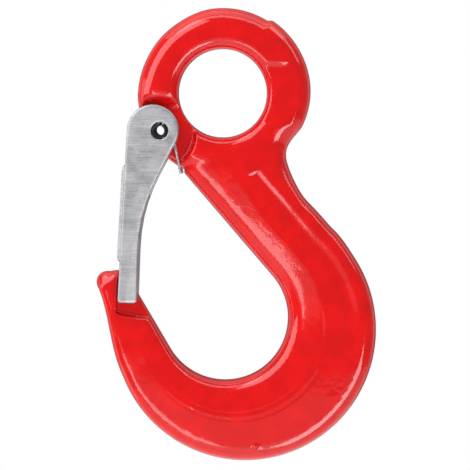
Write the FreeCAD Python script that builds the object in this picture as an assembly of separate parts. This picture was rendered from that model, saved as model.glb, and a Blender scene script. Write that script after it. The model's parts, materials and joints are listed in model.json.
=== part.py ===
# Eye sling hook with a spring latch, drop forged for 10 mm chain.
#
# The hook lies in the XZ plane with its eye at the top, and Y is its thickness. The origin is the
# centre of the eye's bore. The throat opens to -X, where the latch hangs from a pin through a lug
# on the eye and closes on the hook's tip. All lengths are in millimetres, all angles in degrees.
import FreeCAD, Part
import math
import os
from FreeCAD import Rotation, Vector

# ---------------------------------------------------------------- driving dimensions
# eye
eye_bore_r = 17.0            # hole that the shackle pin or ring passes through
eye_section = 15.9           # radial width of the eye's ring
eye_thickness = 15.6
eye_land = 6.0               # straight wall at the middle of the bore
eye_pad_cut = 0.8            # depth of the flat pad on the back of the ring, each side
eye_pad_half = 11.5          # half its height

# bowl, shank and back of the hook
bowl_r = 24.3                # load seat
bowl_drop = 86.2             # eye centre down to the bowl's centre
bowl_shift = 0.8             # bowl's centre to the back of the eye's centre
bowl_depth = 31.1            # metal below the seat
back_shift = 7.8             # centre of the back's arc, behind the bowl's centre
back_drop = 4.8              # and below it
bowl_thickness = 22.0
shank_thickness = 20.0
neck_thickness = 15.8
shank_inset = 1.6            # how far the shank's throat side runs inside the eye's rim
neck_flare = 7.0             # extra width where the shank spreads into the eye

# tip
tip_angle = 59.6             # slope of the tip's throat side above level
tip_length = 33.0            # straight throat side, above the bowl
tip_width = 12.4
tip_thickness = 11.5
tip_cap = 4.6                # rounded end beyond the straight side
knob_r = 4.4                 # ball at the end of the nose
knob_rise = 1.5              # its centre, above the end of the straight side
tongue_thickness = 7.6       # nose between the latch's prongs
tongue_shoulder = 5.6        # from the prongs' ends to the shoulder below them

# latch pin and its lug
pin_r = 3.0
pin_wall = 1.2
pin_slot = 1.0
pin_slot_turn = 35.0         # the slit points back and up from the throat
pin_chamfer = 0.5
pin_inset = 4.963            # pin centre, inside the eye's rim
pin_place = 210.79           # and its direction from the eye's centre
lug_r = 11.0
lug_thickness = 8.0
pocket_drop = 1.4            # centre of the round pocket for the ears, below the pin

# latch
ear_thickness = 2.6
ear_r = 10.0                 # rounded top of the latch
ear_shift = 2.6              # its centre, in front of the pin
bar_width = 6.7              # side view of the bar
prong_width = 7.4            # side view of the prongs' ends
prong_reach = 3.6            # past the seat on the tongue
seat_reach = 24.8            # where the prongs' root meets the tip, up its throat side
flank_angle = 25.0           # the ear narrows to the bar at this angle
flank_r = 65.0
slot_start = 14.0            # top of the web between the ears, below the pin
slot_slope = 53.0            # slope of the slot's floor
web_proud = 1.2              # the web stands in front of the ears
web_stop = 12.2              # the web ends above the seat
latch_edge_r = 0.6

# spring
wire_r = 0.6
leg_reach = 18.4             # pin centre to the end of the legs on the hook
whole_turns = 1              # beyond the part turn between leg and loop
loop_place = 8.0             # loop on the slot's floor, from its front end

# clearances
pin_clearance = 0.05         # latch on its pin, radial
seat_clearance = 0.25        # latch on the tongue
prong_clearance = 0.5        # prongs beside the tongue, and in front of the shoulder
pocket_clearance = 1.3       # round the ears as they swing
wire_clearance = 0.12
turn_clearance = 0.16        # between the turns of a coil
coil_clearance = 0.8         # coil round the pin
leg_clearance = 0.29         # legs' ends in front of the shank
groove_clearance = 0.1       # legs in their grooves, where they pass an edge of the body

# ---------------------------------------------------------------- worked-out places
UP_Y = Vector(0, 1, 0)
BIG = 200.0


def spot(x, z, y=0.0):
    return Vector(x, y, z)


def ray(angle):
    """Direction in the hook's plane, counted from +X towards +Z."""
    return spot(math.cos(math.radians(angle)), math.sin(math.radians(angle)))


eye_outer_r = eye_bore_r + eye_section
eye_crown_r = eye_bore_r + eye_section / 2
pin_centre = ray(pin_place) * (eye_outer_r - pin_inset)
bowl_centre = spot(bowl_shift, -bowl_drop)
back_centre = bowl_centre + spot(back_shift, -back_drop)
back_r = bowl_r + bowl_depth - back_drop


# the shank's throat side is the crossing tangent of the eye's rim and the bowl
eye_tangent_r = eye_outer_r - shank_inset
to_eye = spot(0, 0) - bowl_centre
shank_normal_angle = math.degrees(
    math.atan2(to_eye.z, to_eye.x) - math.acos((bowl_r + eye_tangent_r) / to_eye.Length))
shank_out = ray(shank_normal_angle)
shank_up = ray(shank_normal_angle + 90)
shank_foot = bowl_centre + shank_out * bowl_r
shank_length = math.sqrt(to_eye.Length ** 2 - (bowl_r + eye_tangent_r) ** 2)

# the tip's throat side leaves the bowl as a tangent too
tip_up = ray(180 - tip_angle)
tip_out = ray(270 - tip_angle)
tip_foot = bowl_centre + tip_out * bowl_r

# the latch's own axes: along, from the pin to the tip, and across, towards the throat
seat_point = tip_foot + tip_up * seat_reach
latch_front = ear_r + ear_shift
to_seat = seat_point - pin_centre
seat_across = prong_width - latch_front
seat_along = math.sqrt(to_seat.Length ** 2 - seat_across ** 2)
latch_angle = math.degrees(
    math.atan2(to_seat.z, to_seat.x) - math.atan2(seat_across, seat_along))
along = ray(latch_angle)
across = ray(latch_angle + 90)
latch_length = seat_along + prong_reach

# between the lug and each ear there is room for a leg and a turn of the coil beside it
ear_inside = lug_thickness / 2 + 4 * wire_r + 2 * wire_clearance + turn_clearance
latch_width = 2 * (ear_inside + ear_thickness)
pocket_r = latch_front + pocket_clearance

# the coil goes round the pin, and the legs end against the shank's throat side
coil_r = pin_r + coil_clearance + wire_r
pin_depth = (pin_centre - shank_foot).dot(shank_out)
leg_angle = shank_normal_angle - math.degrees(
    math.acos(-(pin_depth + leg_clearance + wire_r) / leg_reach))


def on_latch(a, b, y=0.0):
    """Point on the latch: a from the pin towards the tip, b towards the throat."""
    return pin_centre + along * a + across * b + Vector(0, y, 0)


# ---------------------------------------------------------------- helpers
def rounded(corners):
    """Closed outline of straight runs joined by tangent arcs, from (point, radius) corners."""
    edges, ends = [], []
    count = len(corners)
    for k, (corner, radius) in enumerate(corners):
        back = (corners[k - 1][0] - corner).normalize()
        ahead = (corners[(k + 1) % count][0] - corner).normalize()
        half = back.getAngle(ahead) / 2
        cut = radius / math.tan(half)
        middle = (back + ahead).normalize() * (radius / math.sin(half) - radius)
        start, end = corner + back * cut, corner + ahead * cut
        edges.append(Part.Arc(start, corner + middle, end).toShape())
        ends.append((start, end))
    for k in range(count):
        start, end = ends[k][1], ends[(k + 1) % count][0]
        if (end - start).Length > 1e-6:
            edges.append(Part.makeLine(start, end))
    return Part.Wire(Part.__sortEdges__(edges))


def slab(wire, low, high):
    """Solid between two values of Y from an outline in the XZ plane."""
    face = Part.Face(wire)
    face.translate(Vector(0, low, 0))
    return face.extrude(Vector(0, high - low, 0))


def disc(centre, radius, low, high):
    return Part.makeCylinder(radius, high - low, centre + Vector(0, low, 0), UP_Y)


def half_plane(point, direction, normal, low, high):
    """Large block on the normal's side of a line in the XZ plane."""
    corners = [point - direction * BIG, point + direction * BIG,
               point + direction * BIG + normal * BIG, point - direction * BIG + normal * BIG]
    return slab(Part.makePolygon(corners + corners[:1]), low, high)


def turned(points_and_curves):
    """Solid turned about the bore's axis from a closed profile in the XY plane."""
    return Part.Face(Part.Wire(points_and_curves)).revolve(Vector(), UP_Y, 360)


# ---------------------------------------------------------------- hook body
# half of the forged section: depth from the throat side and thickness, both as shares
FORGED = ((0.0, 0.0), (0.035, 0.42), (0.13, 0.76), (0.27, 0.93), (0.42, 1.0),
          (0.62, 0.965), (0.80, 0.84), (0.945, 0.47), (1.0, 0.0))
# place up the shank, share of the flare, share of the shank's full thickness
NECK = ((0.80, 1.0, 0.0), (0.62, 1.0, 0.0), (0.50, 0.8, 0.1), (0.40, 0.25, 0.5), (0.28, 0.0, 0.9))
BOWL_STEPS = 10
# place up the tip, share of the root's size still left
TIP = ((0.33, 0.74), (0.66, 0.32), (0.92, 0.04))
TIP_CAP = (0, 30, 55, 72)    # degrees round the rounded end


def section(inner, outward, width, thickness):
    """Closed section across the hook, from its throat side outwards."""
    upper = [inner + outward * (d * width) + Vector(0, h * thickness / 2, 0) for d, h in FORGED]
    lower = [Vector(p.x, -p.y, p.z) for p in upper[-2:0:-1]]
    points = upper + lower
    curve = Part.BSplineCurve()
    curve.interpolate(Points=points, PeriodicFlag=True,
                      Parameters=[float(k) for k in range(len(points) + 1)])
    return Part.Wire(curve.toShape())


def back_distance(angle):
    """From the bowl's centre to the back's arc, along a ray."""
    shift = back_centre - bowl_centre
    side = shift.dot(ray(angle))
    return side + math.sqrt(side ** 2 + back_r ** 2 - shift.Length ** 2)


def hook_sections():
    """Sections from inside the eye, down the shank, round the bowl and up the tip."""
    wires = []
    shank_width = back_distance(shank_normal_angle) - bowl_r
    for place, spread, share in NECK:
        wires.append(section(shank_foot + shank_up * (place * shank_length), shank_out,
                             shank_width + spread * neck_flare,
                             neck_thickness + (shank_thickness - neck_thickness) * share))
    end_angle = -90 - tip_angle
    root_thickness = (bowl_thickness + tip_thickness) / 2
    for k in range(BOWL_STEPS + 1):
        share = k / BOWL_STEPS
        angle = shank_normal_angle + (end_angle - shank_normal_angle) * share
        end_thickness = shank_thickness if share < 0.5 else root_thickness
        swell = math.sin(math.pi * share)
        wires.append(section(bowl_centre + ray(angle) * bowl_r, ray(angle),
                             back_distance(angle) - bowl_r,
                             end_thickness + (bowl_thickness - end_thickness) * swell))
    root_width = back_distance(end_angle) - bowl_r
    for place, share in TIP:
        wires.append(section(tip_foot + tip_up * (place * tip_length), tip_out,
                             tip_width + (root_width - tip_width) * share,
                             tip_thickness + (root_thickness - tip_thickness) * share))
    # the end is rounded off by sections that shrink about its middle
    for turn in TIP_CAP:
        left = math.cos(math.radians(turn))
        rise = tip_length + tip_cap * math.sin(math.radians(turn))
        start = tip_foot + tip_up * rise + tip_out * ((1 - left) * tip_width / 2)
        wires.append(section(start, tip_out, left * tip_width, left * tip_thickness))
    return wires


def profile(*points):
    return [Part.makeLine(points[k], points[k + 1]) for k in range(len(points) - 1)]


def eye_blank():
    """The eye before its bore: a disc with a round rim."""
    half = eye_thickness / 2
    crown, rim, low = (Vector(eye_crown_r, half, 0), Vector(eye_outer_r, 0, 0),
                       Vector(eye_crown_r, -half, 0))
    return turned([Part.Arc(crown, rim, low).toShape()]
                  + profile(low, Vector(0, -half, 0), Vector(0, half, 0), crown))


def bore_tool():
    """Bore with a straight land and rounded mouths, longer than the hook is thick."""
    half, land, far = eye_thickness / 2, eye_land / 2, bowl_thickness
    mouth_r = half - land
    centre = Vector(eye_bore_r + mouth_r, land, 0)
    middle = centre + Vector(-1, 1, 0).normalize() * mouth_r
    start, end = Vector(eye_bore_r, land, 0), Vector(eye_bore_r + mouth_r, half, 0)
    upper = turned([Part.Arc(start, middle, end).toShape()]
                   + profile(end, Vector(end.x, far, 0), Vector(0, far, 0), Vector(0, -land, 0),
                             Vector(eye_bore_r, -land, 0), start))
    return upper.fuse(upper.mirror(Vector(), UP_Y))


def knob():
    """Ball at the nose of the tip."""
    nose = tip_foot + tip_up * (tip_length + knob_rise) + tip_out * (tip_width - knob_r)
    return Part.makeSphere(knob_r, nose)


def face_cuts():
    """Pockets for the ears, recesses beside the tongue and the flat pads, on both faces."""
    far = bowl_thickness
    pocket = pin_centre - spot(0, pocket_drop)
    sweep_r = latch_length + tongue_shoulder
    shoulder = -latch_front - prong_clearance
    cuts = []
    for side in (1, -1):
        low, high = sorted((side * lug_thickness / 2, side * far))
        cuts.append(disc(pocket, pocket_r, low, high))
        # the recess is swept by the prongs, from the knob's shoulder into the throat
        low, high = sorted((side * tongue_thickness / 2, side * far))
        corners = [on_latch(latch_length / 2, shoulder), on_latch(sweep_r + far, shoulder),
                   on_latch(sweep_r + far, latch_front), on_latch(latch_length / 2, latch_front)]
        strip = slab(Part.makePolygon(corners + corners[:1]), low, high)
        cuts.append(strip.common(disc(pin_centre, sweep_r, low, high)))
        low, high = sorted((side * (eye_thickness / 2 - eye_pad_cut), side * far))
        cuts.append(Part.makeBox(eye_outer_r, high - low, 2 * eye_pad_half,
                                 Vector(eye_bore_r - eye_land / 2, low, -eye_pad_half)))
    return cuts


def leg_grooves():
    """Room for the spring's legs along the body."""
    end, start = spring_side()[:2]
    cuts = []
    for side in (1, -1):
        start.y = end.y = side * abs(end.y)
        cuts.append(Part.makeCylinder(wire_r + groove_clearance, (start - end).Length,
                                      end, start - end))
        cuts.append(Part.makeSphere(wire_r + groove_clearance, end))
    return cuts


def hook_body():
    strip = Part.makeLoft(hook_sections(), True, False)
    lug = disc(pin_centre, lug_r, -lug_thickness / 2, lug_thickness / 2)
    body = strip.fuse([eye_blank(), lug, knob()])
    body = body.cut([bore_tool(), disc(pin_centre, pin_r, -bowl_thickness, bowl_thickness)]
                    + face_cuts() + leg_grooves())
    return body


# ---------------------------------------------------------------- latch
def latch_outline():
    head = -ear_shift
    narrow = bar_width - latch_front
    # the flank runs tangent to the ear's round top and meets the bar's straight side
    flank = math.radians(flank_angle)
    corner_along = (ear_r / math.cos(flank) + head - narrow) / math.tan(flank)
    end_r = latch_edge_r * 2
    return rounded([
        (on_latch(latch_length, -latch_front), end_r),
        (on_latch(latch_length, prong_width - latch_front), end_r),
        (on_latch(corner_along, narrow), flank_r),
        (on_latch(ear_r * math.tan(flank / 2), head + ear_r), ear_r),
        (on_latch(-ear_r, head + ear_r), ear_r),
        (on_latch(-ear_r, head - ear_r), ear_r)])


def slot_floor(depth=0.0):
    """Front end and direction of the slot's floor between the ears, raised by a depth."""
    slope = math.radians(slot_slope)
    run = along * math.sin(slope) + across * math.cos(slope)
    rise = across * math.sin(slope) - along * math.cos(slope)
    return on_latch(slot_start, -latch_front) + rise * depth, run, rise


def latch():
    half = latch_width / 2
    tongue_half = tongue_thickness / 2 + prong_clearance
    body = slab(latch_outline(), -half, half)
    outer = [e for e in body.Edges if abs(abs(e.CenterOfMass.y) - half) < 1e-6]
    body = body.makeFillet(latch_edge_r, outer)
    # the web stands proud in front, between the ears
    end = seat_along - web_stop
    front = -latch_front - web_proud
    web = rounded([(on_latch(slot_start, front), web_proud), (on_latch(end, front), web_proud),
                   (on_latch(end, -latch_front + web_proud), web_proud / 2),
                   (on_latch(slot_start, -latch_front + web_proud), web_proud / 2)])
    body = body.fuse(slab(web, -ear_inside, ear_inside))
    start, run, rise = slot_floor()
    ears_slot = half_plane(start, run, rise, -ear_inside, ear_inside)
    tongue_slot = half_plane(tip_foot - tip_out * seat_clearance, tip_up, tip_out,
                             -tongue_half, tongue_half)
    hole = disc(pin_centre, pin_r + pin_clearance, -latch_width, latch_width)
    return body.cut([ears_slot, tongue_slot, hole])


# ---------------------------------------------------------------- pin
def latch_pin():
    """Slotted spring pin, rolled from strip, with a chamfer at each end."""
    half = latch_width / 2
    bore = pin_r - pin_wall
    tube = turned(profile(Vector(bore, -half, 0), Vector(pin_r - pin_chamfer, -half, 0),
                          Vector(pin_r, pin_chamfer - half, 0),
                          Vector(pin_r, half - pin_chamfer, 0),
                          Vector(pin_r - pin_chamfer, half, 0), Vector(bore, half, 0),
                          Vector(bore, -half, 0)))
    slit = Part.makeBox(pin_slot, latch_width, pin_r * 2, Vector(-pin_slot / 2, -half, 0))
    slit.rotate(Vector(), UP_Y, pin_slot_turn)
    pin = tube.cut(slit)
    pin.translate(pin_centre)
    return pin


# ---------------------------------------------------------------- spring
ARC_SHARE = 0.48             # of the shorter run that the arc at a corner takes
COIL_STEP = 45               # largest turn between a coil's corners


def bent_path(points):
    """Straight runs joined by tangent arcs."""
    edges, last = [], points[0]
    for k in range(1, len(points) - 1):
        corner = points[k]
        back, ahead = points[k - 1] - corner, points[k + 1] - corner
        cut = ARC_SHARE * min(back.Length, ahead.Length)
        back, ahead = back.normalize(), ahead.normalize()
        half = back.getAngle(ahead) / 2
        radius = cut * math.tan(half)
        middle = (back + ahead).normalize() * (radius / math.sin(half) - radius)
        start, end = corner + back * cut, corner + ahead * cut
        edges += [Part.makeLine(last, start), Part.Arc(start, corner + middle, end).toShape()]
        last = end
    return Part.Wire(edges + [Part.makeLine(last, points[-1])])


def spring_side():
    """Corners of one leg, its coil and its side of the loop, from the hook to the latch."""
    inner = lug_thickness / 2 + wire_clearance + wire_r
    outer = ear_inside - wire_clearance - wire_r
    hook_end = pin_centre + ray(leg_angle) * leg_reach
    start, run, _ = slot_floor(wire_r + wire_clearance)
    loop_end = start + run * loop_place
    # the leg leaves the coil on its throat side, the loop's arm on its front side
    first = leg_angle + math.degrees(math.acos(coil_r / leg_reach))
    to_loop = loop_end - pin_centre
    last = math.degrees(math.atan2(to_loop.z, to_loop.x) - math.acos(coil_r / to_loop.Length))
    wrap = (last - first) % 360 + 360 * whole_turns
    count = math.ceil(wrap / COIL_STEP)
    step = wrap / count
    corner_r = coil_r / math.cos(math.radians(step / 2))
    corners = [hook_end + Vector(0, inner, 0)]
    for k in range(count):
        share = (k + 0.5) / count
        corners.append(pin_centre + ray(first + step * (k + 0.5)) * corner_r
                       + Vector(0, inner + (outer - inner) * share, 0))
    return corners + [loop_end + Vector(0, outer, 0)]


def latch_spring():
    """Double torsion spring: legs on the hook, a coil each side of the lug, a loop on the latch."""
    side = spring_side()
    other = [Vector(p.x, -p.y, p.z) for p in reversed(side)]
    path = bent_path(side + other)
    heading = (side[1] - side[0]).normalize()
    wire_end = Part.Wire(Part.makeCircle(wire_r, side[0], heading))
    return path.makePipeShell([wire_end], True, False)


if __name__ == "__main__":
    os.makedirs("parts", exist_ok=True)
    for make in (hook_body, latch, latch_pin, latch_spring):
        solid = make()
        print(make.__name__, "valid", solid.isValid(), "solids", len(solid.Solids),
              "volume %.0f mm3" % solid.Volume)
        solid.exportStep("parts/%s.step" % make.__name__)
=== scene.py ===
# %% [markdown]
# # An eye sling hook with a spring latch
# The real object is a drop-forged steel hook, dipped in glossy red enamel, with a zinc-plated
# latch that swings on a slotted pin and is pushed shut by a small wire spring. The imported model
# holds the sizes and the hinge. Here each part is modelled again with its forged or pressed
# edges, and gets a finish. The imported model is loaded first, because everything is placed by it.

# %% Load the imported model
import json
import math
import bmesh
import bpy
from mathutils import Matrix, Vector, noise


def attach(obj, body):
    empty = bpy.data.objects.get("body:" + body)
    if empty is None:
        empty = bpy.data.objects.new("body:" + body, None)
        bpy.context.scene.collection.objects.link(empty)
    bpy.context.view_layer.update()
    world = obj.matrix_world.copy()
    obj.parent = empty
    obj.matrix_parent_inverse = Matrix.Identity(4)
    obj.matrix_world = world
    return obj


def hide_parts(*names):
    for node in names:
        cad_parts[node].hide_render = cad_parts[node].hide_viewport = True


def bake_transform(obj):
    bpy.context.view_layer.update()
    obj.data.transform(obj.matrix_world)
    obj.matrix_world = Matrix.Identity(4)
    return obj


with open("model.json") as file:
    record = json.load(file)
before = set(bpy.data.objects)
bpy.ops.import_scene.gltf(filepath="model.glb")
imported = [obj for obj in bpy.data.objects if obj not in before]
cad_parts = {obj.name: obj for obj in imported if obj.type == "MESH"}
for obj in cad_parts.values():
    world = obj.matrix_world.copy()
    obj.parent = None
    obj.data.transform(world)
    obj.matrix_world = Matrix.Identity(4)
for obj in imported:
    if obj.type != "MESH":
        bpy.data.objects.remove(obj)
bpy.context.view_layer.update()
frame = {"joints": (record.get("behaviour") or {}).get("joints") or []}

MM = 0.001
hinge = Vector(frame["joints"][0]["pos_m"])
print("hinge of the latch, in mm:", [round(c / MM, 1) for c in hinge])


def ray(angle):
    """Direction in the hook's plane, in degrees from +X towards +Z."""
    return Vector((math.cos(math.radians(angle)), 0, math.sin(math.radians(angle))))


def spot(x, z, y=0.0):
    """A place in millimetres, as a vector in metres."""
    return Vector((x, y, z)) * MM


# %% [markdown]
# ## Helpers for edit mode
# Blender's operators act on whatever is selected, so each helper deselects everything first and
# leaves one piece active. A ring starts as a circle primitive whose points are moved to a
# section; from there it is extruded, spun or filled, as it would be by hand.

# %% Selecting, naming and applying
def pick(*pieces):
    """Make these the only selected objects, with the first one active."""
    bpy.ops.object.select_all(action="DESELECT")
    for piece in pieces:
        piece.select_set(True)
    bpy.context.view_layer.objects.active = pieces[0]


def edit(piece):
    """Enter edit mode on a piece with all of it selected."""
    pick(piece)
    bpy.ops.object.mode_set(mode="EDIT")
    bpy.ops.mesh.select_all(action="SELECT")


def close_up(piece):
    """Merge doubled points, turn the faces outwards and leave edit mode."""
    bpy.ops.mesh.select_all(action="SELECT")
    bpy.ops.mesh.remove_doubles(threshold=0.001 * MM)
    bpy.ops.mesh.normals_make_consistent(inside=False)
    bpy.ops.object.mode_set(mode="OBJECT")
    return piece


def apply(piece, kind, **settings):
    """Add a modifier to a piece and apply it."""
    pick(piece)
    modifier = piece.modifiers.new(kind.title(), kind)
    for name, value in settings.items():
        setattr(modifier, name, value)
    bpy.ops.object.modifier_apply(modifier=modifier.name)
    return piece


def combine(piece, others, operation):
    """Join other closed meshes to a piece, or cut them from it, and drop them."""
    for other in others:
        apply(piece, "BOOLEAN", operation=operation, solver="EXACT", object=other)
        bpy.data.objects.remove(other)
    return piece


def report(piece):
    """Print a piece's name, its number of faces and its box in millimetres."""
    low, high = Vector(piece.bound_box[0]) / MM, Vector(piece.bound_box[6]) / MM
    print("%s: %d faces, from %s to %s mm" % (
        piece.name, len(piece.data.polygons),
        tuple(round(c, 1) for c in low), tuple(round(c, 1) for c in high)))


# %% Rings, skins, plates and drums
def ring(name, points):
    """A circle primitive with its points moved to a section."""
    bpy.ops.object.select_all(action="DESELECT")
    bpy.ops.mesh.primitive_circle_add(vertices=len(points), radius=MM)
    piece = bpy.context.active_object
    piece.name = piece.data.name = name
    for vertex, point in zip(piece.data.vertices, points):
        vertex.co = point
    return piece


def skin(name, sections):
    """Extrude a capped ring from section to section."""
    piece = ring(name, sections[0])
    edit(piece)
    bpy.ops.mesh.edge_face_add()
    mesh = bmesh.from_edit_mesh(piece.data)
    mesh.faces.ensure_lookup_table()
    order = [vertex.index for vertex in mesh.faces[0].verts]
    for section in sections[1:]:
        bpy.ops.mesh.extrude_region_move()
        mesh = bmesh.from_edit_mesh(piece.data)
        cap = next(face for face in mesh.faces if face.select)
        for place, vertex in zip(order, cap.verts):
            vertex.co = section[place]
        bmesh.update_edit_mesh(piece.data)
    return close_up(piece)


def plate(name, outline, low, high):
    """Fill an outline in the hook's plane and extrude it between two values of Y."""
    piece = ring(name, [Vector((p.x, low, p.z)) for p in outline])
    edit(piece)
    bpy.ops.mesh.edge_face_add()
    bpy.ops.mesh.extrude_region_move(TRANSFORM_OT_translate={"value": (0, high - low, 0)})
    return close_up(piece)


def round_rims(piece, offset, segments):
    """Bevel the outlines of the two flat faces that lie across the hook's plane."""
    edit(piece)
    bpy.ops.mesh.select_all(action="DESELECT")
    bpy.ops.mesh.select_mode(type="FACE")
    mesh = bmesh.from_edit_mesh(piece.data)
    for face in mesh.faces:
        face.select_set(abs(face.normal.y) > 0.9)
    bmesh.update_edit_mesh(piece.data)
    bpy.ops.mesh.region_to_loop()
    bpy.ops.mesh.bevel(offset=offset, segments=segments)
    close_up(piece)


def drum(name, centre, radius, low, high, bevel=0.0):
    """A round disc across the hook's plane, its two rims rounded where a bevel is given."""
    bpy.ops.object.select_all(action="DESELECT")
    bpy.ops.mesh.primitive_cylinder_add(
        vertices=128, radius=radius, depth=high - low, rotation=(math.pi / 2, 0, 0),
        location=centre + Vector((0, (low + high) / 2, 0)))
    bpy.ops.object.transform_apply(location=True, rotation=True, scale=True)
    piece = bpy.context.active_object
    piece.name = piece.data.name = name
    if bevel:
        round_rims(piece, bevel, segments=4)
    return piece


def sculpt(piece, move):
    """Move every point of a mesh by a function of its place and its normal."""
    normals = [vertex.normal.copy() for vertex in piece.data.vertices]
    for vertex, normal in zip(piece.data.vertices, normals):
        vertex.co += move(vertex.co / MM, normal) * MM
    piece.data.update()


def ease(value, start, end):
    """Smooth step from 0 at the start to 1 at the end."""
    share = min(max((value - start) / (end - start), 0.0), 1.0)
    return share * share * (3 - 2 * share)


# %% [markdown]
# ## The hook's body
# A drop forging has one flowing section: rounded at the throat, thickest about two fifths of the
# way out, where a soft ridge runs round the whole bowl, and drawn in towards the back. A curve
# with a bevel can't change its section on one side only, so the section is a formula and a ring
# is extruded from station to station: down the shank, round the bowl and up the tip.

# %% Sizes of the forging, in millimetres
EYE_BORE, EYE_RIM, EYE_HALF, EYE_MOUTH = 17.0, 32.85, 7.8, 4.8
BOWL_R, BOWL_DEPTH = 24.3, 31.04
BACK_SHIFT, BACK_DROP = 7.8, 4.8
BOWL_HALF, SHANK_HALF, NECK_HALF = 11.0, 10.0, 7.9
NECK_FLARE, SHANK_INSET, SHANK_FILL = 7.0, 1.6, 1.1
# first and last station up the shank, and the run between, as shares of its length
SHANK_TOP, SHANK_END, SHANK_RUN = 0.80, 0.04, 0.76
FLARE_SPAN, FILL_SPAN = (0.20, 0.60), (0.42, 0.04)
FILL_ARC = 16                 # degrees of the bowl in which the fill runs out
TIP_SLOPE, TIP_LENGTH, TIP_WIDTH, TIP_HALF, TIP_CAP = 59.6, 33.0, 12.4, 5.75, 4.6
RIDGE = 0.42                  # share of the depth where the forging is thickest
# each side of the ridge: how flat the face is, how square its edge is, and how much it falls away
INNER_FACE, OUTER_FACE = (6.0, 2.3, 0.19), (9.0, 2.6, 0.07)

bowl_centre = Vector((0.8, 0, -86.2))
back_shift = Vector((BACK_SHIFT, 0, -BACK_DROP))
back_r = BOWL_R + BOWL_DEPTH - BACK_DROP
rise = -bowl_centre
shank_angle = math.degrees(math.atan2(rise.z, rise.x)
                           - math.acos((BOWL_R + EYE_RIM - SHANK_INSET) / rise.length))
shank_out, shank_up = ray(shank_angle), ray(shank_angle + 90)
shank_foot = bowl_centre + shank_out * BOWL_R
shank_length = math.sqrt(rise.length ** 2 - (BOWL_R + EYE_RIM - SHANK_INSET) ** 2)
tip_out, tip_up = ray(270 - TIP_SLOPE), ray(180 - TIP_SLOPE)
tip_foot = bowl_centre + tip_out * BOWL_R
print("shank leans at %.1f degrees and is %.1f mm long" % (shank_angle + 90, shank_length))


# %% The forged section
def half_height(depth):
    """Half thickness of the section, as a share, at a share of its depth from the throat."""
    inner = depth < RIDGE
    away = (RIDGE - depth) / RIDGE if inner else (depth - RIDGE) / (1 - RIDGE)
    flat, square, fall = INNER_FACE if inner else OUTER_FACE
    dome = max(1 - away ** flat, 0.0) ** (1 / square)
    return dome - fall * away * (1 - away ** 6)


def forged(inner, outward, width, half, points=96):
    """Ring of points for one station, in metres, from the throat side outwards."""
    ring_points = []
    for k in range(points):
        turn = math.tau * k / points
        reach = math.cos(turn)
        depth = RIDGE - reach * RIDGE if reach > 0 else RIDGE - reach * (1 - RIDGE)
        side = half * half_height(depth) * (1 if turn < math.pi else -1)
        place = inner + outward * (depth * width)
        ring_points.append(Vector((place.x, side, place.z)) * MM)
    return ring_points


def back_distance(angle):
    """From the bowl's centre to the back, along a ray."""
    side = back_shift.dot(ray(angle))
    return side + math.sqrt(side ** 2 + back_r ** 2 - back_shift.length ** 2)


# %% Stations down the shank, round the bowl and up the tip
def shank_stations():
    """Stations from inside the eye down to the bowl, at shares of the shank's length."""
    width = back_distance(shank_angle) - BOWL_R
    for k in range(40):
        place = SHANK_TOP - SHANK_RUN * k / 39
        flare = ease(place, *FLARE_SPAN)
        swell = 1 - ((place - SHANK_END) / SHANK_RUN) ** 2
        fill = SHANK_FILL * ease(place, *FILL_SPAN)
        yield forged(shank_foot + shank_up * (place * shank_length), shank_out,
                     width + flare * NECK_FLARE + fill,
                     NECK_HALF + (SHANK_HALF - NECK_HALF) * swell)


def bowl_stations(steps=100):
    """Stations round the bowl, from the shank to the root of the tip."""
    end = -90 - TIP_SLOPE
    root_half = (BOWL_HALF + TIP_HALF) / 2
    for k in range(steps + 1):
        angle = shank_angle + (end - shank_angle) * k / steps
        rest = SHANK_HALF if 2 * k < steps else root_half
        fill = SHANK_FILL * ease(angle, shank_angle - FILL_ARC, shank_angle)
        yield forged(bowl_centre + ray(angle) * BOWL_R, ray(angle),
                     back_distance(angle) - BOWL_R + fill,
                     rest + (BOWL_HALF - rest) * math.sin(math.pi * k / steps))


def tip_stations():
    """Stations up the tip's straight side, and then round its end at a few angles."""
    root_width = back_distance(-90 - TIP_SLOPE) - BOWL_R
    root_half = (BOWL_HALF + TIP_HALF) / 2
    for k in range(1, 25):
        place = k / 24
        left = ((math.cos(math.pi * place / 2) ** 2 + 1 - place) / 2
                + 0.05 * math.sin(math.pi * place))
        yield forged(tip_foot + tip_up * (place * TIP_LENGTH), tip_out,
                     TIP_WIDTH + (root_width - TIP_WIDTH) * left,
                     TIP_HALF + (root_half - TIP_HALF) * left)
    for turn in (20, 38, 54, 68, 79):
        left = math.cos(math.radians(turn))
        height = TIP_LENGTH + TIP_CAP * math.sin(math.radians(turn))
        start = tip_foot + tip_up * height + tip_out * ((1 - left) * TIP_WIDTH / 2)
        yield forged(start, tip_out, left * TIP_WIDTH, left * TIP_HALF)


body = skin("forged_body", [*shank_stations(), *bowl_stations(), *tip_stations()])
report(body)

# %% [markdown]
# ## The eye, the lug and the ball on the tip
# The eye is a ring with a straight land inside, rounded mouths and a round rim, so its section is
# drawn once and spun about the bore. The lug for the pin is a rounded drum, and the tip ends in
# a ball. All of them are joined to the body before anything is cut.

# %% Spin the eye
def eye_section():
    """Points of the ring's section: round rim outside, land and rounded mouths inside."""
    rim_centre = EYE_RIM - EYE_HALF
    points = []
    for k in range(49):
        turn = math.pi * (0.5 - k / 48)
        points.append(Vector((rim_centre + EYE_HALF * math.cos(turn),
                              EYE_HALF * math.sin(turn), 0)))
    for side in (-1, 1):
        for k in range(17):
            turn = math.pi / 2 * (k / 16 if side < 0 else 1 - k / 16)
            points.append(Vector((
                EYE_BORE + EYE_MOUTH * (1 - math.sin(turn)),
                side * (EYE_HALF - EYE_MOUTH + EYE_MOUTH * math.cos(turn)), 0)))
    return [p * MM for p in points]


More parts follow.
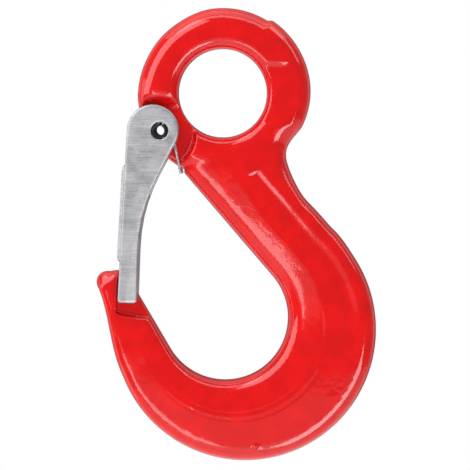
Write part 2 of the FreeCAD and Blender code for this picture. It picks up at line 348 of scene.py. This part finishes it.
eye = ring("eye", eye_section())
edit(eye)
bpy.ops.mesh.spin(steps=240, angle=math.tau, center=(0, 0, 0), axis=(0, 1, 0))
close_up(eye)
report(eye)

# %% Lug and ball
LUG_R, LUG_HALF, PIN_R = 11.0, 4.0, 3.0
KNOB_R, KNOB_RISE = 4.4, 1.5

lug = drum("lug", hinge, LUG_R * MM, -LUG_HALF * MM, LUG_HALF * MM)
nose = tip_foot + tip_up * (TIP_LENGTH + KNOB_RISE) + tip_out * (TIP_WIDTH - KNOB_R)
bpy.ops.object.select_all(action="DESELECT")
bpy.ops.mesh.primitive_uv_sphere_add(segments=48, ring_count=24, radius=KNOB_R * MM,
                                     location=nose * MM)
bpy.ops.object.transform_apply(location=True, rotation=True, scale=True)
knob = bpy.context.active_object
knob.name = "knob"
eye_room = drum("eye_room", Vector((0, 0, 0)), (EYE_BORE + EYE_MOUTH - 0.3) * MM,
                -2 * BOWL_HALF * MM, 2 * BOWL_HALF * MM)
combine(body, [lug, knob], "UNION")
combine(body, [eye_room], "DIFFERENCE")
combine(body, [eye], "UNION")
report(body)

# %% [markdown]
# ## Cutting the body
# The ears of the latch swing in round pockets beside the lug, the prongs swing past a thin tongue
# on the tip, and one side of the eye has a flat pad. Each is a boolean cut with a plain closed
# mesh. The latch's own axes are worked out first, because the tongue is swept about its hinge.

# %% The latch's axes
EAR_R, EAR_SHIFT, BAR_WIDTH, PRONG_WIDTH, PRONG_REACH = 10.0, 2.6, 6.7, 7.4, 3.6
SEAT_REACH, SEAT_GAP = 24.8, 0.25
latch_front = EAR_R + EAR_SHIFT
pin = hinge / MM
to_seat = tip_foot + tip_up * SEAT_REACH - pin
seat_across = PRONG_WIDTH - latch_front
seat_along = math.sqrt(to_seat.length ** 2 - seat_across ** 2)
latch_angle = math.degrees(math.atan2(to_seat.z, to_seat.x)
                           - math.atan2(seat_across, seat_along))
along, across = ray(latch_angle), ray(latch_angle + 90)
latch_length = seat_along + PRONG_REACH
print("latch is %.1f mm long from its pin, at %.1f degrees" % (latch_length, latch_angle))


def on_latch(a, b):
    """Place in metres: a from the pin towards the tip, b towards the throat, both in mm."""
    return (pin + along * a + across * b) * MM


# %% Pockets, recess and pad
TONGUE_HALF, SHOULDER_GAP, SHOULDER_REACH = 3.8, 0.5, 5.6
POCKET_R, POCKET_DROP, POCKET_EDGE, PAD_HALF, PAD_CUT = 13.9, 1.4, 2.2, 11.5, 0.8


def recess_outline():
    """Sector swept by the prongs, from the ball's shoulder into the throat."""
    reach, back = latch_length + SHOULDER_REACH, -latch_front - SHOULDER_GAP
    start, end = math.asin(back / reach), math.asin(latch_front / reach)
    arc = [start + (end - start) * k / 24 for k in range(25)]
    return ([on_latch(latch_length / 2, back)]
            + [on_latch(reach * math.cos(t), reach * math.sin(t)) for t in arc]
            + [on_latch(latch_length / 2, latch_front)])


def face_cutters():
    """Pocket, recess and pad for both faces; the pad's block passes both edges of the ring."""
    far = 2 * BOWL_HALF * MM
    pad = [(EYE_BORE - 3, -PAD_HALF), (EYE_RIM + 1, -PAD_HALF),
           (EYE_RIM + 1, PAD_HALF), (EYE_BORE - 3, PAD_HALF)]
    for side in (1, -1):
        def span(height):
            return sorted((side * height * MM, side * far))
        yield drum("pocket", hinge - spot(0, POCKET_DROP), POCKET_R * MM, *span(LUG_HALF),
                   bevel=POCKET_EDGE * MM)
        yield plate("recess", recess_outline(), *span(TONGUE_HALF))
        yield plate("pad", [spot(x, z) for x, z in pad], *span(EYE_HALF - PAD_CUT))


pin_hole = drum("pin_hole", hinge, (PIN_R + 0.15) * MM, -2 * BOWL_HALF * MM, 2 * BOWL_HALF * MM)
combine(body, [*face_cutters(), pin_hole], "DIFFERENCE")
report(body)

# %% [markdown]
# ## Softening the forging
# Forged edges are never sharp, and enamel rounds them further. A voxel remesh gives a piece an
# even skin of small quads, but it leaves steps on gentle slopes, which gloss would show. So the
# skin is shrink-wrapped back onto a copy of the piece from before, and then smoothed, which
# rounds every edge by about a millimetre.

# %% Remesh and smooth
def even_skin(piece, voxel, iterations):
    """Rebuild a piece in small quads that lie on its old surface, and round its edges."""
    exact = piece.copy()
    exact.data = piece.data.copy()
    bpy.context.collection.objects.link(exact)
    apply(piece, "REMESH", mode="VOXEL", voxel_size=voxel * MM)
    apply(piece, "SHRINKWRAP", wrap_method="NEAREST_SURFACEPOINT", target=exact)
    apply(piece, "SMOOTH", factor=0.5, iterations=iterations)
    bpy.data.objects.remove(exact)


even_skin(body, voxel=0.62, iterations=12)


def soften(piece, centre, inner, outer, iterations):
    """Smooth one corner more: fully within the inner distance, and not beyond the outer."""
    near = piece.vertex_groups.new(name="corner")
    for vertex in piece.data.vertices:
        away = math.hypot(vertex.co.x / MM - centre[0], vertex.co.z / MM - centre[1])
        if away < outer:
            near.add([vertex.index], 1 - ease(away, inner, outer), "REPLACE")
    apply(piece, "SMOOTH", factor=0.5, iterations=iterations, vertex_group="corner")
    piece.vertex_groups.clear()


for centre, inner, outer, iterations in (
        ((25.5, -24.5), 6.0, 13.0, 420),     # neck, between eye and shank
        ((41.5, -53.0), 4.0, 10.0, 60),      # where the shank runs into the back
        ((33.0, -38.5), 2.0, 7.0, 40),       # back of the shank, below the neck
        ((-24.0, -2.0), 3.0, 8.0, 60)):      # upper wall of the pocket
    soften(body, centre, inner, outer, iterations)

FULLER, SLIMMER = 1.1, 0.7           # how far the eye's rim goes out, and in
DIE_STEP, FULLER_END = (59, 55), (-42, 8)
SLIMMER_START, SLIMMER_END = (95, 125), (190, 150)
UNEVEN_FROM, UNEVEN_FULL, UNEVEN_FOOT = EYE_RIM - 9, EYE_RIM - 2, -25


def uneven_eye(place, normal):
    """The eye is fuller on its right, up to a step where two dies met, and slimmer left."""
    away = math.hypot(place.x, place.z)
    if away < UNEVEN_FROM or place.z < UNEVEN_FOOT:
        return Vector((0, 0, 0))
    turn = math.degrees(math.atan2(place.z, place.x))
    fuller = ease(turn, *DIE_STEP) * ease(turn, *FULLER_END) * FULLER
    slimmer = ease(turn, *SLIMMER_START) * ease(turn, *SLIMMER_END) * SLIMMER
    out = Vector((place.x, 0, place.z)) / away
    return out * ((fuller - slimmer) * ease(away, UNEVEN_FROM, UNEVEN_FULL))


sculpt(body, uneven_eye)

# %% [markdown]
# Forging and dipping leave marks on the near face: a shallow trough along the back of the shank,
# a line along the ridge, small dents, and a curl where a run of enamel ended. They are shallow,
# so each is a height added to the flat face, as a function of the place in the section and the
# angle round the bowl.

# %% Marks on the near face
# height in mm, place and half width as shares of the section's depth, and the angles between
# which the mark fades in and fades out
LINES = ((-0.68, 0.72, 0.14, (-24, 4), (98, 72)),             # trough along the back
         (-0.20, 0.40, 0.03, (12, -10), (-150, -120)),        # line along the ridge
         (-0.10, 0.48, 0.03, (-20, -40), (-140, -110)))       # fainter line beside it
CURL, CURL_HEIGHT, CURL_R = (13.2, -136.0), 0.45, 0.9
DENTS, DENT_HEIGHT, DENT_EDGE = (44.0, -114.0), 0.10, (6.0, 2.0)


def forge_place(place):
    """Share of the section's depth, and the angle round the bowl that the shank carries on."""
    rel = Vector((place.x, 0, place.z)) - bowl_centre
    up = rel.dot(shank_up)
    if up > 0 and rel.dot(shank_out) > 0:
        return ((rel.dot(shank_out) - BOWL_R) / (back_distance(shank_angle) - BOWL_R),
                shank_angle + up)
    angle = math.degrees(math.atan2(rel.z, rel.x))
    return (rel.length - BOWL_R) / (back_distance(angle) - BOWL_R), angle


def hill(value, middle, half):
    """Rounded bump of height 1, zero beyond half a width from the middle."""
    return ease(abs(value - middle), half, 0.0)


def forge_marks(place, normal):
    """How far a point of the near face is moved out or in by the marks."""
    if normal.y > -0.5 or math.hypot(place.x, place.z) < EYE_RIM:
        return Vector((0, 0, 0))
    share, angle = forge_place(place)
    height = 0.0
    for depth, middle, half, fade_in, fade_out in LINES:
        height += depth * hill(share, middle, half) * ease(angle, *fade_in) * ease(
            angle, *fade_out)
    away = math.hypot(place.x - CURL[0], place.z - CURL[1])
    height += CURL_HEIGHT * hill(away, CURL_R, CURL_R)
    away = math.hypot(place.x - DENTS[0], place.z - DENTS[1])
    height += DENT_HEIGHT * noise.noise(place * 0.7) * ease(away, *DENT_EDGE)
    return Vector((0, -height, 0))


sculpt(body, forge_marks)
pick(body)
bpy.ops.object.shade_smooth()
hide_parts("hook_body")
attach(body, "hook")
report(body)

# %% [markdown]
# ## The latch
# The latch is a pressed steel part: two ears with a web between them, open at the throat side for
# the spring and slotted at its end for the tongue. Its outline is straight runs with round
# corners, so a small function rounds a list of corners, and the plate is cut like the body.

# %% Outline of the latch
FLANK_SLOPE, FLANK_R, FOOT_R = 25.0, 65.0, 1.2
LATCH_HALF, EAR_INSIDE, LATCH_EDGE = 9.4, 6.8, 0.7


def rounded(corners, step=6):
    """Outline of straight runs with round corners, from ((a, b), radius) corners on the latch."""
    points = []
    for k, (corner, radius) in enumerate(corners):
        here = Vector(corner)
        back = (Vector(corners[k - 1][0]) - here).normalized()
        ahead = (Vector(corners[(k + 1) % len(corners)][0]) - here).normalized()
        half = back.angle(ahead) / 2
        middle = here + (back + ahead).normalized() * (radius / math.sin(half))
        start = here + back * (radius / math.tan(half)) - middle
        sweep = start.angle_signed(here + ahead * (radius / math.tan(half)) - middle)
        count = max(2, round(abs(math.degrees(sweep)) / step))
        for j in range(count + 1):
            turn = -sweep * j / count
            points.append(on_latch(
                middle.x + start.x * math.cos(turn) - start.y * math.sin(turn),
                middle.y + start.x * math.sin(turn) + start.y * math.cos(turn)))
    return points


def latch_outline():
    """Side view of the latch: round head, slanting flank, bar and prong."""
    head, narrow = -EAR_SHIFT, BAR_WIDTH - latch_front
    flank = math.radians(FLANK_SLOPE)
    corner = (EAR_R / math.cos(flank) + head - narrow) / math.tan(flank)
    return rounded([
        ((latch_length, -latch_front), FOOT_R),
        ((latch_length, PRONG_WIDTH - latch_front), FOOT_R),
        ((corner, narrow), FLANK_R),
        ((EAR_R * math.tan(flank / 2), head + EAR_R), EAR_R - 0.001),
        ((-EAR_R, head + EAR_R), EAR_R - 0.001),
        ((-EAR_R, head - EAR_R), EAR_R - 0.001)], step=5)


latch = plate("pressed_latch", latch_outline(), -LATCH_HALF * MM, LATCH_HALF * MM)
round_rims(latch, LATCH_EDGE * MM, segments=3)
report(latch)

# %% Web between the ears
SLOT_START, SLOT_SLOPE, WEB_PROUD, WEB_STOP = 14.0, 53.0, 1.2, 12.2
web_end = seat_along - WEB_STOP
web = plate("web", rounded([
    ((SLOT_START, -latch_front - WEB_PROUD), 1.1), ((web_end, -latch_front - WEB_PROUD), 1.1),
    ((web_end, -latch_front + WEB_PROUD), 0.5), ((SLOT_START, -latch_front + WEB_PROUD), 0.5)]),
    -EAR_INSIDE * MM, EAR_INSIDE * MM)
combine(latch, [web], "UNION")


# %% Slots for the spring and the tongue, and the hole
def slot_wedge(name, start, run, outward, half):
    """Large block on one side of a line on the hook's plane, in mm."""
    far = 120
    corners = [start - run * far, start + run * far,
               start + run * far + outward * far, start - run * far + outward * far]
    return plate(name, [c * MM for c in corners], -half * MM, half * MM)


slope = math.radians(SLOT_SLOPE)
slot_run = along * math.sin(slope) + across * math.cos(slope)
slot_rise = across * math.sin(slope) - along * math.cos(slope)
slot_floor = on_latch(SLOT_START, -latch_front) / MM
spring_slot = slot_wedge("spring_slot", slot_floor, slot_run, slot_rise, EAR_INSIDE)
tongue_slot = slot_wedge("tongue_slot", tip_foot - tip_out * SEAT_GAP, tip_up, tip_out,
                         TONGUE_HALF + SHOULDER_GAP)
latch_hole = drum("latch_hole", hinge, (PIN_R + 0.2) * MM, -2 * LATCH_HALF * MM,
                  2 * LATCH_HALF * MM)
combine(latch, [spring_slot, tongue_slot, latch_hole], "DIFFERENCE")
even_skin(latch, voxel=0.42, iterations=4)
head = on_latch(0, -EAR_SHIFT) / MM
soften(latch, (head.x, head.z), EAR_R - 2, EAR_R + 4, 14)


CREASE_FROM, CREASE_START, CREASE_LEAN, CREASE_SLOPE = 28.0, -6.05, 0.093, 0.18
CREASE_RUN, CREASE_MOST = 6, 0.6     # the crease grows over this length, up to this depth


def crease(place, normal):
    """Beyond a line along each outer face, the bar is pressed back towards the throat."""
    a, b = (place - pin).dot(along), (place - pin).dot(across)
    line = CREASE_START - (a - CREASE_FROM) * CREASE_LEAN
    back = max(b - line, 0.0) * CREASE_SLOPE * ease(
        a, CREASE_FROM, CREASE_FROM + CREASE_RUN)
    reach = ease(abs(place.y), EAR_INSIDE + 0.6, LATCH_HALF - 0.4)
    return Vector((0, -math.copysign(min(back, CREASE_MOST) * reach, place.y), 0))


sculpt(latch, crease)
pick(latch)
bpy.ops.object.shade_smooth()
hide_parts("latch")
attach(latch, "latch")
report(latch)

# %% [markdown]
# ## The pin
# A slotted spring pin is rolled from strip, so it is a tube with a gap along it. Its wall is
# drawn as a section with chamfered ends and spun nearly all the way round; the two end faces that
# the spin leaves open are filled.

# %% Spin the pin
PIN_WALL, PIN_SLOT, PIN_SLOT_TURN, PIN_CHAMFER = 1.2, 1.0, 35.0, 0.5
wall = [(PIN_R - PIN_WALL, -LATCH_HALF + 0.15), (PIN_R - PIN_WALL + 0.15, -LATCH_HALF),
        (PIN_R - PIN_CHAMFER, -LATCH_HALF), (PIN_R - 0.15, -LATCH_HALF + 0.25),
        (PIN_R, -LATCH_HALF + 0.8)]
wall += [(r, -y) for r, y in reversed(wall)]
slot_half = math.degrees(math.asin(PIN_SLOT / 2 / PIN_R))
slot_edge = ray(90 - PIN_SLOT_TURN + slot_half)
roll_pin = ring("slotted_pin", [hinge + (slot_edge * r + Vector((0, y, 0))) * MM
                                for r, y in wall])
edit(roll_pin)
bpy.ops.mesh.edge_face_add()
bpy.ops.mesh.spin(steps=72, angle=math.radians(360 - 2 * slot_half), center=hinge,
                  axis=(0, -1, 0))
close_up(roll_pin)
apply(roll_pin, "BEVEL", width=0.12 * MM, segments=2, limit_method="ANGLE",
      angle_limit=math.radians(40))
pick(roll_pin)
bpy.ops.object.shade_smooth_by_angle(angle=math.radians(35))
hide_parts("latch_pin")
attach(roll_pin, "hook")
report(roll_pin)

# %% [markdown]
# ## The spring
# One wire makes the whole spring: a straight leg on each side of the lug, a coil round the pin
# and a loop that lies on the slot's floor in the latch. A curve with a round bevel is the natural
# tool for wire, with a point every few degrees of the coil.

# %% Wind the spring
WIRE_R, COIL_R, WIRE_GAP, LEG_REACH, LEG_GAP = 0.6, 4.4, 0.12, 18.4, 0.29
LOOP_PLACE, LOOP_CORNER = 8.0, 1.4


def wire_side():
    """Points of one half of the spring in mm, from the hook's leg to the latch's loop."""
    inner, outer = LUG_HALF + WIRE_GAP + WIRE_R, EAR_INSIDE - WIRE_GAP - WIRE_R
    pin_depth = (pin - shank_foot).dot(shank_out)
    leg_angle = shank_angle - math.degrees(
        math.acos(-(pin_depth + LEG_GAP + WIRE_R) / LEG_REACH))
    leg_end = pin + ray(leg_angle) * LEG_REACH
    loop_end = slot_floor + slot_rise * (WIRE_R + WIRE_GAP) + slot_run * LOOP_PLACE
    to_loop = loop_end - pin
    first = leg_angle + math.degrees(math.acos(COIL_R / LEG_REACH))
    last = math.degrees(math.atan2(to_loop.z, to_loop.x) - math.acos(COIL_R / to_loop.length))
    wrap = (last - first) % 360 + 360
    steps = round(wrap / 8)
    leave = pin + ray(first) * COIL_R
    points = [leg_end.lerp(leave, k / 6) + Vector((0, inner, 0)) for k in range(6)]
    for k in range(steps + 1):
        points.append(pin + ray(first + wrap * k / steps) * COIL_R
                      + Vector((0, inner + (outer - inner) * k / steps, 0)))
    arm_start, arm_end = points[-1], loop_end + Vector((0, outer, 0))
    points += [arm_start.lerp(arm_end, k / 6) for k in range(1, 5)]
    heading = (arm_end - arm_start).normalized()
    for k in range(7):
        turn = math.radians(15 * k)
        points.append(arm_end - heading * (LOOP_CORNER * (1 - math.sin(turn)))
                      - Vector((0, LOOP_CORNER * (1 - math.cos(turn)), 0)))
    return points


half_wire = wire_side()
wire_points = half_wire + [Vector((p.x, -p.y, p.z)) for p in reversed(half_wire)]
bpy.ops.object.select_all(action="DESELECT")
bpy.ops.curve.primitive_nurbs_path_add(enter_editmode=False)
spring = bpy.context.active_object
spring.name = spring.data.name = "wire_spring"
spring.data.splines.clear()
wire = spring.data.splines.new("POLY")
wire.points.add(len(wire_points) - 1)
for point, place in zip(wire.points, wire_points):
    point.co = (*(place * MM), 1)
spring.data.bevel_depth = WIRE_R * MM
spring.data.bevel_resolution = 5
spring.data.use_fill_caps = True
pick(spring)
bpy.ops.object.convert(target="MESH")
spring = bpy.context.active_object
edit(spring)
close_up(spring)
bpy.ops.object.shade_smooth_by_angle(angle=math.radians(50))
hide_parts("latch_spring")
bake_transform(spring)
report(spring)

# %% [markdown]
# ## Writing shader maths in Python
# Materials here are colours laid over each other through masks. A small class wraps a socket, so
# that an expression such as mask * 0.5 adds its own Math node, and one method adds every other
# node.

# %% Sockets in expressions
class Value:
    """A number that varies over the surface, as an output socket of a finish."""

    def __init__(self, finish, out):
        self.finish, self.out = finish, out

    def math(self, operation, *values):
        """A Math node on these values."""
        return self.finish.node("ShaderNodeMath", {"operation": operation},
                                dict(enumerate(values)))

    def __mul__(self, other):
        return self.math("MULTIPLY", self, other)

    def __rmul__(self, other):
        return self.math("MULTIPLY", other, self)


class Finish:
    """A material built node by node round one Principled shader."""

    def __init__(self, name):
        self.material = bpy.data.materials.new(name)
        self.material.use_nodes = True
        self.tree = self.material.node_tree
        self.tree.nodes.clear()
        self.place = self.node("ShaderNodeTexCoord", output="Object")

    def node(self, kind, settings=None, sockets=None, output=0):
        """Add a node: its settings first, then its sockets' values or links."""
        made = self.tree.nodes.new(kind)
        for name, value in (settings or {}).items():
            if name == "stops":
                ramp = made.color_ramp.elements
                while len(ramp) < len(value):
                    ramp.new(0.5)
                for stop, (position, colour) in zip(ramp, value):
                    stop.position, stop.color = position, (*colour, 1)
            else:
                setattr(made, name, value)
        for name, value in (sockets or {}).items():
            if isinstance(value, Value):
                self.tree.links.new(value.out, made.inputs[name])
            else:
                made.inputs[name].default_value = value
        return Value(self, made.outputs[output]) if made.outputs else None

    def noise(self, size, detail=2.0, roughness=0.5, stretch=(1, 1, 1), seed=0.0):
        """Soft noise with features of about this size in millimetres."""
        where = self.node("ShaderNodeMapping", {"vector_type": "POINT"}, {
            "Vector": self.place, "Scale": tuple(1 / (size * MM * s) for s in stretch),
            "Location": (seed, seed * 0.7, seed * 1.3)})
        return self.node("ShaderNodeTexNoise", {}, {
            "Vector": where, "Scale": 1.0, "Detail": detail, "Roughness": roughness})

    def fade(self, value, low, high, start=0.0, end=1.0):
        """Smooth change of a value from start at low to end at high."""
        return self.node("ShaderNodeMapRange", {"interpolation_type": "SMOOTHSTEP"}, {
            "Value": value, "From Min": low, "From Max": high, "To Min": start, "To Max": end})

    def blend(self, share, first, second):
        """Mix of two colours by a share."""
        return self.node("ShaderNodeMix", {"data_type": "RGBA"}, {
            "Factor": share, 6: (*first, 1) if isinstance(first, tuple) else first,
            7: (*second, 1) if isinstance(second, tuple) else second}, output=2)

    def bump(self, height, depth, under=None):
        """Bump of a height from 0 to 1 that is this deep in millimetres."""
        sockets = {"Height": height, "Distance": depth * MM, "Strength": 1.0}
        if under is not None:
            sockets["Normal"] = under
        return self.node("ShaderNodeBump", {}, sockets)

    def finish(self, **sockets):
        """The Principled shader and the output."""
        named = {name.replace("_", " "): value for name, value in sockets.items()}
        shader = self.node("ShaderNodeBsdfPrincipled", {}, named)
        self.node("ShaderNodeOutputMaterial", {}, {"Surface": shader})
        return self.material


# %% Red enamel
def red_enamel():
    """Glossy red, mottled where the dip ran thick, with soft waves and dark specks."""
    f = Finish("red_enamel")
    mottle = f.noise(7.0, detail=3.0)
    flow = f.noise(2.6, detail=2.0, seed=3.0)
    peel = f.noise(0.9, detail=1.0, seed=8.0)
    tone = f.fade(mottle, 0.35, 0.70)
    specks = f.fade(f.noise(0.9, detail=1.0, seed=21.0), 0.76, 0.79)
    deep, bright = (0.53, 0.0036, 0.0042), (0.61, 0.0040, 0.0046)
    paint = f.blend(tone, deep, bright)
    paint = f.blend(specks * 0.8, paint, (0.05, 0.006, 0.006))
    shape = f.bump(mottle, 0.10)
    shape = f.bump(flow, 0.02, shape)
    shape = f.bump(peel, 0.002, shape)
    return f.finish(Base_Color=paint, Roughness=f.fade(flow, 0.3, 0.7, 0.06, 0.12),
                    Normal=shape, IOR=1.5)


# %% Zinc plate
def zinc_plate():
    """Dull grey plate: brushed lines, fine grain, clouds and a few stains."""
    f = Finish("zinc_plate")
    brush = f.noise(0.35, detail=3.0, stretch=(20, 20, 0.7))
    grain = f.noise(0.45, detail=3.0, roughness=0.7, seed=14.0)
    cloud = f.noise(5.0, detail=3.0, seed=5.0)
    stain = f.fade(f.noise(1.4, detail=3.0, seed=9.0), 0.62, 0.72)
    grey = f.blend(f.fade(cloud, 0.3, 0.7), (0.31, 0.31, 0.325), (0.40, 0.40, 0.415))
    grey = f.blend(f.fade(brush, 0.35, 0.75) * 0.45, grey, (0.66, 0.66, 0.68))
    grey = f.blend(f.fade(grain, 0.52, 0.75) * 0.5, grey, (0.20, 0.20, 0.21))
    grey = f.blend(stain * 0.3, grey, (0.16, 0.17, 0.15))
    shape = f.bump(brush, 0.03)
    shape = f.bump(grain, 0.03, shape)
    shape = f.bump(cloud, 0.12, shape)
    return f.finish(Base_Color=grey, Metallic=0.85,
                    Roughness=f.fade(cloud, 0.3, 0.7, 0.42, 0.55), Normal=shape)


# %% Black oxide and spring wire
def black_oxide():
    """Nearly black, not metallic, with a fine grain."""
    f = Finish("black_oxide")
    grain = f.noise(0.5, detail=3.0)
    shade = f.blend(f.fade(grain, 0.4, 0.7), (0.003, 0.003, 0.004), (0.016, 0.015, 0.015))
    return f.finish(Base_Color=shade, Metallic=0.0, IOR=1.35,
                    Roughness=f.fade(grain, 0.3, 0.7, 0.30, 0.5), Normal=f.bump(grain, 0.02))


def spring_wire():
    """Bright drawn steel."""
    f = Finish("spring_wire")
    drawn = f.noise(0.4, detail=2.0)
    shade = f.blend(f.fade(drawn, 0.3, 0.8), (0.70, 0.69, 0.68), (0.90, 0.89, 0.87))
    return f.finish(Base_Color=shade, Metallic=1.0,
                    Roughness=f.fade(drawn, 0.3, 0.7, 0.18, 0.34), Normal=f.bump(drawn, 0.01))


for piece, material in ((body, red_enamel()), (latch, zinc_plate()), (roll_pin, black_oxide()),
                        (spring, spring_wire())):
    piece.data.materials.clear()
    piece.data.materials.append(material)
    print(piece.name, "wears", material.name)

# %% [markdown]
# ## Studio
# A product table: a pale floor well below the hanging hook, a white surround, and softboxes whose
# reflections draw the highlights on the enamel. The surround looks white to the camera, dim to
# reflections from the front, and bright again from behind, where it draws the thin rims.

# %% Softboxes
HUB = spot(4.7, -54.6)


def softbox(name, right, up, length, height, glow, form="RECTANGLE", distance=1.2):
    """Area light that faces the hook from angles right of and above the camera's side.

    Its length runs round the view's axis and its height towards it, both in degrees.
    """
    lean, round_axis = math.radians(math.hypot(right, up)), math.atan2(up, right)
    away = Vector((math.sin(lean) * math.cos(round_axis), -math.cos(lean),
                   math.sin(lean) * math.sin(round_axis)))
    tangent = Vector((-math.sin(round_axis), 0, math.cos(round_axis)))
    bpy.ops.object.light_add(type="AREA", location=HUB + away * distance)
    lamp = bpy.context.active_object
    lamp.name = name
    lamp.rotation_euler = Matrix((tangent, away.cross(tangent), away)).transposed().to_euler()
    lamp.data.shape = form
    lamp.data.size = 2 * distance * math.tan(math.radians(length / 2))
    lamp.data.size_y = 2 * distance * math.tan(math.radians(height / 2))
    share = math.pi / 4 if form == "ELLIPSE" else 1.0
    lamp.data.energy = glow * math.pi * share * lamp.data.size * lamp.data.size_y


softbox("upper_left", -50, 35, 66, 40, 3.6)
softbox("overhead", 6, 71, 80, 13, 3.0)
softbox("overhead_far", 0, 98, 90, 34, 1.3)
softbox("upper_right", 62, 56, 34, 16, 2.6)
softbox("lower_right", 24, -28, 36, 20, 6.5)
softbox("left_side", -92, -16, 50, 30, 1.2)
softbox("front_left", -18, -16, 30, 9, 4.2, form="ELLIPSE")
softbox("table", -6, -25, 60, 36, 0.42)


# %% Surround and floor
def surround():
    """White to the camera; to reflections and for shade, dim in front and brighter behind."""
    world = bpy.data.worlds.new("studio")
    bpy.context.scene.world = world
    world.use_nodes = True
    tree = world.node_tree
    tree.nodes.clear()
    out, mix, path, where, split, ramp, half = (tree.nodes.new("ShaderNode" + kind) for kind in (
        "OutputWorld", "MixShader", "LightPath", "TexCoord", "SeparateXYZ", "ValToRGB",
        "MapRange"))
    felt, seen = (tree.nodes.new("ShaderNodeBackground") for _ in range(2))
    seen.inputs["Color"].default_value = (1, 1, 1, 1)
    half.inputs["From Min"].default_value = -1
    stops = ramp.color_ramp.elements
    glow = ((0.0, 0.20), (0.45, 0.26), (0.70, 0.32), (0.85, 0.80), (0.93, 0.20), (1.0, 0.10))
    while len(stops) < len(glow):
        stops.new(0.5)
    for stop, (position, value) in zip(stops, glow):
        stop.position, stop.color = position, (value, value, value, 1)
    for start, end in ((where.outputs["Generated"], split.inputs[0]),
                       (split.outputs["Y"], half.inputs["Value"]),
                       (half.outputs[0], ramp.inputs[0]), (ramp.outputs[0], felt.inputs[0]),
                       (path.outputs["Is Camera Ray"], mix.inputs[0]),
                       (felt.outputs[0], mix.inputs[1]), (seen.outputs[0], mix.inputs[2]),
                       (mix.outputs[0], out.inputs[0])):
        tree.links.new(start, end)


FLOOR_R, FLOOR_DROP = 3.0, 1.2
surround()
bpy.context.scene.view_settings.view_transform = "Standard"
bpy.ops.object.select_all(action="DESELECT")
bpy.ops.mesh.primitive_circle_add(vertices=96, radius=FLOOR_R, fill_type="NGON",
                                  location=(0, 0, -FLOOR_DROP))
floor = bpy.context.active_object
floor.name = "floor"
white = Finish("floor_white")
floor.data.materials.append(white.finish(
    Base_Color=white.blend(white.noise(60.0), (0.86, 0.86, 0.86), (0.90, 0.90, 0.90)),
    Emission_Color=(1.0, 1.0, 1.0, 1.0), Emission_Strength=0.5, Roughness=0.9))

# %% Camera
BACK_OFF = 1.4
azimuth, elevation = math.radians(1.5), math.radians(2.5)
view_back = Vector((math.sin(azimuth) * math.cos(elevation),
                    -math.cos(azimuth) * math.cos(elevation), math.sin(elevation)))
bpy.ops.object.camera_add(location=HUB + view_back * BACK_OFF)
camera = bpy.context.active_object
camera.rotation_euler = view_back.to_track_quat("Z", "Y").to_euler()
camera.data.lens = 278
camera.data.clip_start = 0.05
bpy.context.scene.camera = camera
print("camera: %.1f m from the hook, lens %d mm" % (BACK_OFF, camera.data.lens))
